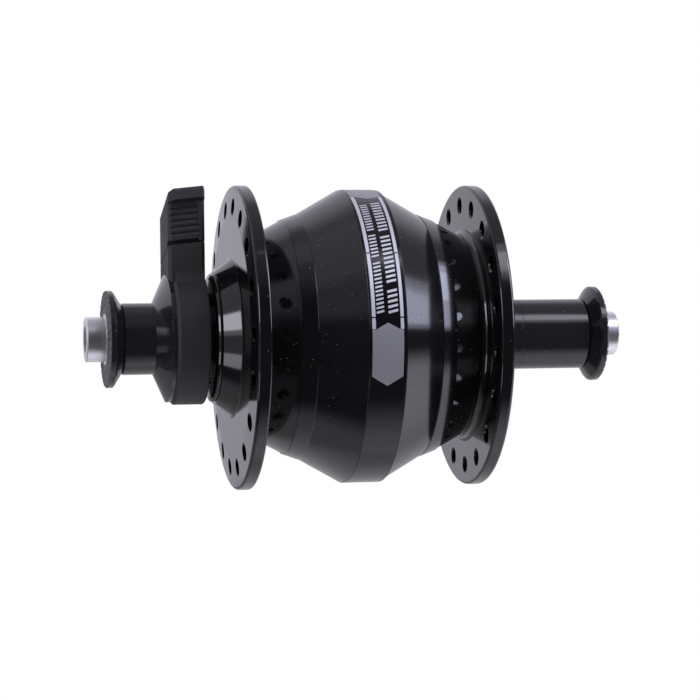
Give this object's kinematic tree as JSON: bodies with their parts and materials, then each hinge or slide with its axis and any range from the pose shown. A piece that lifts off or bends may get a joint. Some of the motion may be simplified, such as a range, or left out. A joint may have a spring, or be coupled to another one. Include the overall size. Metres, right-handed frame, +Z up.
{
  "type": "hub dynamo",
  "caption": "Front bicycle hub with a generator inside: two-part turned shell with spoke flanges on a hollow fixed axle, and a terminal arm with a pull-off plug.",
  "frame": {"origin": "on the axle, midway between the two locknut faces", "axes": "+X along the axle, away from the terminal; +Z up the terminal arm"},
  "size_m": [0.1076, 0.06, 0.06],
  "materials": {
    "black_metal": "black anodised, glossy",
    "bright_steel": "turned, bright",
    "bearing_steel": "ground",
    "black_plastic": "moulded, fine grain",
    "label_print": "printed film",
    "seal_rubber": "matte",
    "iron": "pressed soft iron",
    "magnet": "sintered",
    "bobbin_plastic": "moulded",
    "copper": "enamelled wire, as one wound block",
    "lead_plastic": "insulated",
    "contact_brass": "stamped",
    "cage_brass": "pressed"
  },
  "bodies": {
    "axle_group": {"axle": "bright_steel", "left_locknut": "black_metal", "right_locknut": "black_metal", "left_cone_spacer": "black_metal", "left_clamp_ring": "black_metal", "right_collar": "black_metal", "right_spacer": "black_metal", "terminal_body": "black_plastic", "terminal_contacts": "contact_brass", "lead_wires": "lead_plastic", "stator_core": "iron", "left_claw": "iron", "right_claw": "iron", "coil_bobbin": "bobbin_plastic", "coil_winding": "copper", "stator_washer": "bright_steel", "stator_nut": "bright_steel", "left_inner_race": "bearing_steel", "right_inner_race": "bearing_steel"},
    "shell": {"hub_shell": "black_metal", "left_cover": "black_metal", "label_band": "label_print", "shell_o_ring": "seal_rubber", "flux_ring": "iron", "magnets": "magnet", "left_outer_race": "bearing_steel", "right_outer_race": "bearing_steel", "left_shields": "seal_rubber", "right_shields": "seal_rubber", "left_lip_seal": "seal_rubber", "right_lip_seal": "seal_rubber", "left_dust_ring": "black_metal", "right_dust_ring": "black_metal"},
    "left_ball_set": {"left_balls": "bearing_steel", "left_cage": "cage_brass"},
    "right_ball_set": {"right_balls": "bearing_steel", "right_cage": "cage_brass"},
    "plug": {"plug_body": "black_plastic", "plug_contacts": "contact_brass"}
  },
  "joints": [
    {"name": "shell_spin", "type": "hinge", "parent": "axle_group", "child": "shell", "pos_m": [0, 0, 0], "axis": [1, 0, 0], "continuous": true},
    {"name": "left_cage_spin", "type": "hinge", "parent": "axle_group", "child": "left_ball_set", "pos_m": [0, 0, 0], "axis": [1, 0, 0], "continuous": true},
    {"name": "right_cage_spin", "type": "hinge", "parent": "axle_group", "child": "right_ball_set", "pos_m": [0, 0, 0], "axis": [1, 0, 0], "continuous": true},
    {"name": "plug_pull", "type": "slide", "parent": "axle_group", "child": "plug", "axis": [0, 0, 1], "range_m": [0, 0.01]}
  ],
  "couplings": [
    {"joint": "left_cage_spin", "follows": "shell_spin", "ratio": 0.5907},
    {"joint": "right_cage_spin", "follows": "shell_spin", "ratio": 0.5907}
  ]
}
